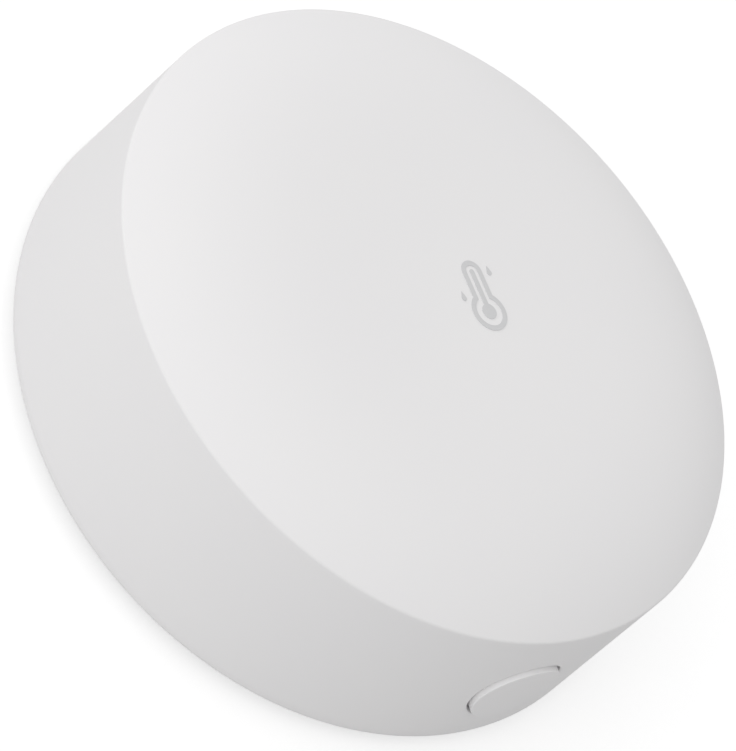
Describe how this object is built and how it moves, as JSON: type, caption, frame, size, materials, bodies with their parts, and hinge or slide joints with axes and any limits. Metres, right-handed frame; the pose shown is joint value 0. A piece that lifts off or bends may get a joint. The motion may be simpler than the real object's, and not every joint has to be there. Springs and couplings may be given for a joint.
{
  "type": "temperature humidity sensor",
  "caption": "Round domed white puck that senses room temperature and humidity, with a side push button, a twist-off battery cover and an adhesive pad on its back.",
  "frame": {"origin": "centre of the adhesive pad's face, on the surface that the sensor sticks to", "axes": "+Z out of the domed front, +Y towards the top of the printed symbol, the push button on the -Y side"},
  "size_m": [0.036, 0.036, 0.0121],
  "materials": {
    "white_abs": "moulded white ABS with a fine matt texture",
    "back_abs": "moulded white ABS, plainer on the back",
    "grey_ink": "light grey pad-printed ink",
    "black_lcp": "black moulded LCP of the switch and battery frame",
    "plunger_pom": "grey moulded acetal",
    "spring_steel": "nickel-plated spring steel sheet",
    "cell_steel": "drawn stainless sheet of a coin cell",
    "cell_seal": "moulded polypropylene seal",
    "cell_powder": "pressed dark electrode powder",
    "board_fr4": "glass-epoxy laminate with green solder mask",
    "chip_epoxy": "black epoxy moulding compound",
    "tinned_can": "tinned steel sheet",
    "pale_ceramic": "fired dielectric ceramic",
    "tan_ceramic": "fired capacitor ceramic with tinned ends",
    "lamp_resin": "pale lamp resin",
    "screw_steel": "nickel-plated screw steel",
    "foam_tape": "pale closed-cell foam tape"
  },
  "bodies": {
    "housing": {"front_shell": "white_abs", "thermometer_mark": "grey_ink", "switch_body": "black_lcp", "switch_frame": "spring_steel", "circuit_board": "board_fr4", "radio_chip": "chip_epoxy", "crystal": "tinned_can", "shield_can": "tinned_can", "chip_antenna": "pale_ceramic", "humidity_sensor": "chip_epoxy", "status_lamp": "lamp_resin", "chip_capacitors": "tan_ceramic", "chip_resistors": "chip_epoxy", "battery_frame": "black_lcp", "positive_contact": "spring_steel", "negative_contact": "spring_steel", "coin_cell_can": "cell_steel", "coin_cell_gasket": "cell_seal", "coin_cell_core": "cell_powder", "coin_cell_cap": "cell_steel", "rear_housing": "back_abs", "housing_screws": "screw_steel", "adhesive_pad": "foam_tape"},
    "button": {"side_button": "white_abs"},
    "plunger": {"switch_plunger": "plunger_pom"},
    "cover": {"battery_cover": "back_abs"}
  },
  "joints": [
    {"name": "button_press", "type": "slide", "parent": "housing", "child": "button", "axis": [0, 1, 0], "range_m": [0, 0.0002], "stiffness_N_per_m": 800, "springref_m": -0.001},
    {"name": "plunger_press", "type": "slide", "parent": "housing", "child": "plunger", "axis": [0, 1, 0], "range_m": [0, 0.0002]},
    {"name": "cover_turn", "type": "hinge", "parent": "housing", "child": "cover", "pos_m": [0, 0, 0], "axis": [0, 0, -1], "range_deg": [0, 35]}
  ],
  "couplings": [
    {"joint": "plunger_press", "follows": "button_press", "ratio": 1}
  ]
}
